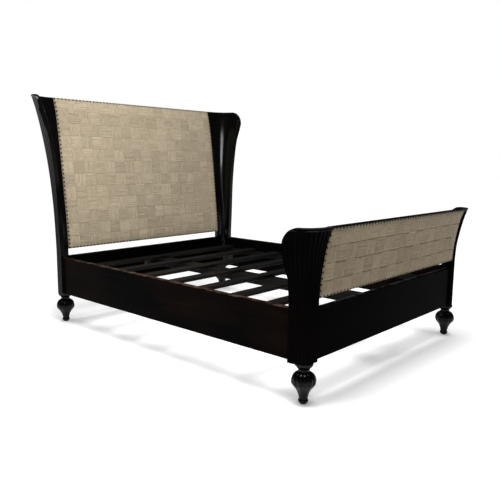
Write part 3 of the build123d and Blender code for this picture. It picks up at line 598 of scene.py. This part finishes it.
def fabric(name, profile, sy, box, cols, rows, node, relief, painted_fold_shading, seed, shade):
    """Woven cover over a pad: cols by rows squares. relief is a strip's rise, and the value after it scales
    the painted shadow in folds and seams and the painted highlight on raised edges.
    """
    lo, hi = box
    half, low, high = hi.x, lo.z, hi.z
    pitch = (2 * half / cols, (high - low) / rows)
    warp = woven(name + "_warp", True, pitch, (-half, low), shade)
    weft = woven(name + "_weft", False, pitch, (-half, low), shade)
    u = np.concatenate([k + WITHIN for k in range(cols)]) * pitch[0] - half
    v = np.concatenate([k + WITHIN for k in range(rows)]) * pitch[1] + low
    # close lines at the border for the nail puckers and the rolled edge
    keep = RING[-1] + 0.003
    us = np.concatenate([-half + RING, u[(u > -half + keep) & (u < half - keep)], half - RING[::-1]])
    vs = np.concatenate([low + RING, v[(v > low + keep) & (v < high - keep)], high - RING[::-1]])
    ci = np.clip(((us + half) / pitch[0]).astype(int), 0, cols - 1)
    ri = np.clip(((vs - low) / pitch[1]).astype(int), 0, rows - 1)
    U, V = np.meshgrid(us, vs, indexing="ij")
    CU, RV = np.meshgrid(ci, ri, indexing="ij")
    fu, fv = (U + half) / pitch[0] - CU, (V - low) / pitch[1] - RV
    rng = np.random.default_rng(seed)
    spots = nail_spots(half, low, high)
    xs, zs, H = inflate(name + "_sim", half, low, high, spots)
    h = bilinear(xs, zs, H, U, V)
    over_v = (CU + RV) % 2 == 0
    crown_v = np.clip(1 - (2 * fv - 1) ** 8, 0, 1) ** 0.5
    crown_u = np.clip(1 - (2 * fu - 1) ** 8, 0, 1) ** 0.5
    puff = rng.uniform(0.75, 1.2, (cols, rows))[CU, RV]
    strip = np.where(over_v, crown_v * (0.80 + 0.20 * crown_u), crown_u * (0.80 + 0.20 * crown_v))
    edge = np.minimum(half - np.abs(U), np.minimum(V - low, high - V))
    w = smooth(0.010, 0.024, edge)
    h = h + relief * strip * puff * w + 0.0006
    # roll at the border, pulled in at each nail
    near = np.full(U.shape, 9.0)
    for a, b in spots:
        near = np.minimum(near, np.hypot(U - a, V - b))
    tight = 1 - smooth(0.004, 0.013, near)
    fall = ROLL - np.sqrt(np.maximum(ROLL * ROLL - np.maximum(ROLL - edge, 0) ** 2, 0))
    pucker = 0.0022 * (1 - tight) * smooth(0.0, 0.006, edge) * (1 - smooth(0.012, 0.022, edge))
    h = h - fall + pucker
    # 0.5 is plain, less is a painted shadow in folds and seams, more is a painted highlight where an edge
    # stands up
    luck = rng.uniform(0.55, 1.15, (cols, rows))[CU, RV]
    upper, lower = smooth(0.925, 0.985, fv), 1 - smooth(0.015, 0.075, fv)
    sides = np.maximum(1 - smooth(0.01, 0.05, fu), smooth(0.95, 0.99, fu))
    dark = (painted_fold_shading * np.where(over_v, 0.50 * upper + 0.06 * lower, 0.05 * lower)
            + np.where(over_v, 0.04, 0.17) * sides)
    lip_highlight = np.where(over_v, 0.26 * sides,
                   0.35 * painted_fold_shading * smooth(0.90, 0.95, fv) * (1 - smooth(0.97, 1.0, fv)))
    painted_light_and_shade = np.clip(0.5 - np.minimum(dark, 0.5) * luck * w + lip_highlight * luck * w, 0, 1)
    # painted shade, darker towards the border of the cloth
    border_shade = (1 - smooth(0.0, 0.016, edge)) * 0.14 + (1 - smooth(0.010, 0.040, edge)) * 0.05
    painted_light_and_shade = np.clip(painted_light_and_shade - border_shade, 0, 1)
    P, N = face_frame(profile, sy, U, V)
    P = P + N * h[..., None]
    # skirt to the back of the pad on all four sides
    nu, nv = U.shape
    grid = P.reshape(-1, 3)
    faces = grid_faces(nu, nv)
    mats = (np.where(over_v[:-1, :-1], 0, 1)).reshape(-1).tolist()
    loop = ([i * nv for i in range(nu)] + [(nu - 1) * nv + j for j in range(1, nv)]
            + [i * nv + nv - 1 for i in range(nu - 2, -1, -1)] + [j for j in range(nv - 2, 0, -1)])
    flatU, flatV = U.reshape(-1)[loop], V.reshape(-1)[loop]
    B, NB = face_frame(profile, sy, flatU, flatV)
    back = B - NB * PAD_THICK
    back[:, 2] = np.clip(back[:, 2], low, high)
    base = len(grid)
    verts = np.concatenate([grid, back])
    n = len(loop)
    for k in range(n):
        faces.append((loop[k], base + k, base + (k + 1) % n, loop[(k + 1) % n]))
        mats.append(0 if flatV[k] in (low, high) else 1)
    faces.append(tuple(base + k for k in range(n)))
    mats.append(0)
    ob = new_object(name, verts, faces, warp)
    ob.data.materials.append(weft)
    # the painted shadow and highlight go on the points; the skirt and back take 0.3, a painted shade
    at = ob.data.attributes.new("painted_light_and_shade", "FLOAT", "POINT")
    values = np.full(len(ob.data.vertices), 0.3)
    values[:painted_light_and_shade.size] = painted_light_and_shade.reshape(-1)
    at.data.foreach_set("value", values)
    ob.data.polygons.foreach_set("material_index", mats)
    tidy_normals(ob)
    finish_piece(ob, "woven_upholstery", node)
    return spots


def nails(name, profile, sy, spots, node, seed):
    rng = random.Random(seed)
    seg, rings = 16, 6
    V, F = [], []
    for x, z in spots:
        x += rng.uniform(-.0004, .0004)
        z += rng.uniform(-.0004, .0004)
        p, n = face_frame(profile, sy, np.array([x]), np.array([z]))
        n = Vector(n[0]) + Vector((rng.uniform(-.07, .07), 0, rng.uniform(-.07, .07)))
        n.normalize()
        q = n.to_track_quat("Z", "Y")
        c = Vector(p[0]) + n * 0.0007
        R = NAIL_R * rng.uniform(.96, 1.04)
        s0 = len(V)
        for k in range(rings):
            a = k / (rings - 1) * math.pi / 2 * 0.98
            for j in range(seg):
                b = j / seg * 2 * math.pi
                V.append(c + q @ Vector((R * math.cos(a) * math.cos(b), R * math.cos(a) * math.sin(b),
                                         NAIL_RISE * math.sin(a))))
        for k in range(rings - 1):
            for j in range(seg):
                F.append((s0 + k*seg + j, s0 + k*seg + (j+1) % seg,
                          s0 + (k+1)*seg + (j+1) % seg, s0 + (k+1)*seg + j))
        F.append(tuple(s0 + (rings-1)*seg + j for j in range(seg)))
        F.append(tuple(s0 + j for j in range(seg))[::-1])
    ob = new_object(name, V, F, mat_nail)
    finish_piece(ob, "nailhead", node)


spots = fabric("headboard_fabric", HEAD_FACE, 1, head_pad, 17, 12, "headboard_pad", 0.0020, 0.28, 4,
               (1.0, 1.0, 1.0))
nails("headboard_nails", HEAD_FACE, 1, spots, "headboard_nailheads", 1)
# the footboard takes the same cloth darkened by painted shade, as its face leans down away from the light
spots = fabric("footboard_fabric", FOOT_FACE, -1, foot_pad, 17, 4, "footboard_pad", 0.0034, 1.0, 9,
               (0.77, 0.74, 0.68))
nails("footboard_nails", FOOT_FACE, -1, spots, "footboard_nailheads", 2)

# ------------------------------------------------------------------ CAD nodes that stay as they are
FINISH = [("side_rail", mat_rail_y), ("headboard_rail", mat_rail_x), ("footboard_rail", mat_rail_x),
          ("headboard_back", mat_back), ("footboard_inner", mat_back), ("headboard_top", mat_rail_x),
          ("headboard_bottom", mat_rail_x), ("footboard_top", mat_rail_x), ("footboard_bottom", mat_rail_x),
          ("headboard_core", mat_ply), ("footboard_core", mat_ply), ("corner_block", mat_base_z),
          ("corner_bracket_bolts", mat_zinc), ("corner_bracket", mat_steel), ("beam_hanger", mat_steel),
          ("slat_screws", mat_zinc), ("slat_ledger", mat_base_y), ("slat_", mat_base_x),
          ("centre_beam", mat_base_y),
          ("foot_glides", mat_nylon), ("foot_hanger", mat_zinc)]
for node, ob in nodes.items():
    for key, mat in FINISH:
        if node.startswith(key):
            ob.data.materials.clear()
            ob.data.materials.append(mat)
            break
for node, width in (("side_rail_left", .0025), ("side_rail_right", .0025), ("headboard_rail", .0022),
                    ("footboard_rail", .0022), ("centre_beam", .002), ("footboard_top_cap", .0012),
                    ("headboard_back_panel", .0015), ("footboard_inner_panel", .0012),
                    ("slat_ledger_left", .0015), ("slat_ledger_right", .0015),
                    *[(f"slat_{k}", .0025) for k in range(1, 9)]):
    b = nodes[node].modifiers.new("arris", "BEVEL")
    b.width, b.segments, b.limit_method, b.angle_limit = width, 3, "ANGLE", math.radians(50)
    b.harden_normals = False

# ------------------------------------------------------------------ floor, light, camera
floor_mat = Nodes("floor")
floor_mat.set(Base_Color=(0.86, 0.86, 0.86, 1), Roughness=0.8, Specular_IOR_Level=0.0,
              Emission_Color=(1, 1, 1, 1), Emission_Strength=0.30)
FLOOR = 30                                          # half its width
floor = new_object("floor", [(-FLOOR, -FLOOR, 0), (FLOOR, -FLOOR, 0), (FLOOR, FLOOR, 0), (-FLOOR, FLOOR, 0)],
                   [(0, 1, 2, 3)], floor_mat.mat, False)

# plain white behind the bed for the camera, dim everywhere else
world = bpy.data.worlds.new("studio")
world.use_nodes = True
wt = world.node_tree
wt.nodes["Background"].inputs[0].default_value = (0.92, 0.96, 1, 1)
wt.nodes["Background"].inputs[1].default_value = 0.05
backdrop = wt.nodes.new("ShaderNodeBackground")
backdrop.inputs[0].default_value = (1, 1, 1, 1)
backdrop.inputs[1].default_value = 1.0
seen = wt.nodes.new("ShaderNodeLightPath")
mix_world = wt.nodes.new("ShaderNodeMixShader")
wt.links.new(seen.outputs["Is Camera Ray"], mix_world.inputs[0])
wt.links.new(wt.nodes["Background"].outputs[0], mix_world.inputs[1])
wt.links.new(backdrop.outputs[0], mix_world.inputs[2])
wt.links.new(mix_world.outputs[0], wt.nodes["World Output"].inputs[0])
bpy.context.scene.world = world


def area(name, place, target, size, energy):
    data = bpy.data.lights.new(name, "AREA")
    data.shape, data.size, data.size_y, data.energy = "RECTANGLE", size[0], size[1], energy
    ob = bpy.data.objects.new(name, data)
    bpy.context.scene.collection.objects.link(ob)
    ob.location = place
    ob.rotation_mode = "QUATERNION"
    ob.rotation_quaternion = (Vector(target) - Vector(place)).to_track_quat("-Z", "Y")
    ob.visible_camera = False


sky = bpy.data.lights.new("soft_top", "SUN")
sky.energy, sky.angle = 2.65, math.radians(35)
sky_ob = bpy.data.objects.new("soft_top", sky)
bpy.context.scene.collection.objects.link(sky_ob)
area("head_light", (-1.15, -0.85, 2.10), (0.05, 1.1, 0.90), (1.2, 0.8), 54)
area("low_left", (-3.6, -2.7, 1.3), (-0.6, -1.1, 0.4), (0.35, 1.3), 9)

psi, pit, rol = math.radians(48.25), math.radians(-8.79), math.radians(0.68)
fwd = Vector((math.sin(psi) * math.cos(pit), math.cos(psi) * math.cos(pit), math.sin(pit)))
right = Vector((math.cos(psi), -math.sin(psi), 0))
up = right.cross(fwd)
r_ = right * math.cos(rol) + up * math.sin(rol)
u_ = -right * math.sin(rol) + up * math.cos(rol)
cam_data = bpy.data.cameras.new("camera")
SENSOR, FOCAL_PX, FRAME_PX = 36, 593, 500
cam_data.sensor_width, cam_data.lens = SENSOR, SENSOR * FOCAL_PX / FRAME_PX
cam = bpy.data.objects.new("camera", cam_data)
bpy.context.scene.collection.objects.link(cam)
m = Matrix((r_, u_, -fwd)).transposed().to_4x4()
m.translation = Vector((-2.933, -2.611 + MID, 1.140))
cam.matrix_world = m
bpy.context.scene.camera = cam
bpy.context.scene.view_settings.view_transform = "Standard"
